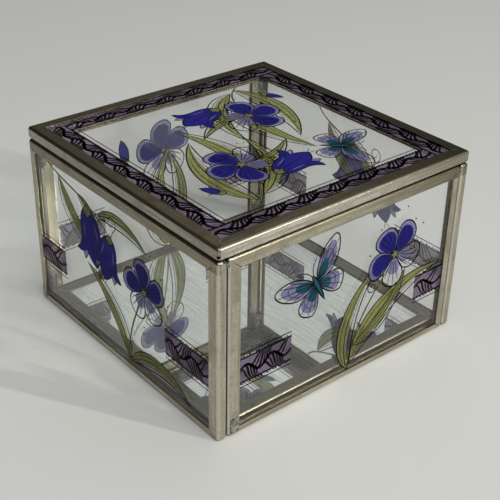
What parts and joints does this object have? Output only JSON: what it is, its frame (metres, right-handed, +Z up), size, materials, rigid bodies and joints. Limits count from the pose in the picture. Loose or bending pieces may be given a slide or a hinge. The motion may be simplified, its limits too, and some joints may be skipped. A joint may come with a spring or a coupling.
{
  "type": "glass keepsake box",
  "caption": "Square glass casket box: clear panes in folded metal channels, a mirrored floor and a framed glass lid on a tube hinge.",
  "frame": {"origin": "centre of the box, its hinge included, on the surface that it stands on", "axes": "+Z up, -Y out of the front wall, +Y towards the hinge, +X to the right as seen from the front"},
  "size_m": [0.102, 0.105, 0.066],
  "materials": {
    "clear_glass": "polished",
    "mirror_glass": "polished",
    "mirror_backing": "matte",
    "channel_metal": "satin",
    "hinge_wire": "satin",
    "solder": "satin",
    "black_enamel": "glossy",
    "violet_enamel": "glossy",
    "lavender_enamel": "glossy",
    "mauve_enamel": "glossy",
    "olive_enamel": "glossy",
    "teal_enamel": "glossy"
  },
  "bodies": {
    "box": {"front_pane": "clear_glass", "right_pane": "clear_glass", "back_pane": "clear_glass", "left_pane": "clear_glass", "front_channel": "channel_metal", "right_channel": "channel_metal", "back_channel": "channel_metal", "left_channel": "channel_metal", "floor_mirror": "mirror_glass", "mirror_backing": "mirror_backing", "floor_channel": "channel_metal", "corner_solder_front_left": "solder", "corner_solder_front_right": "solder", "corner_solder_back_left": "solder", "corner_solder_back_right": "solder", "front_seam_solder": "solder", "right_seam_solder": "solder", "back_seam_solder": "solder", "left_seam_solder": "solder", "hinge_tube_left": "channel_metal", "hinge_tube_right": "channel_metal", "hinge_pin": "hinge_wire", "wall_hinge_solder": "solder"},
    "lid": {"lid_pane": "clear_glass", "lid_channel": "channel_metal", "lid_seam_solder": "solder", "hinge_tube_lid": "channel_metal", "lid_hinge_solder": "solder"}
  },
  "joints": [
    {"name": "lid_hinge", "type": "hinge", "parent": "box", "child": "lid", "pos_m": [0, 0.05095, 0.06185], "axis": [-1, 0, 0], "range_deg": [0, 214]}
  ]
}
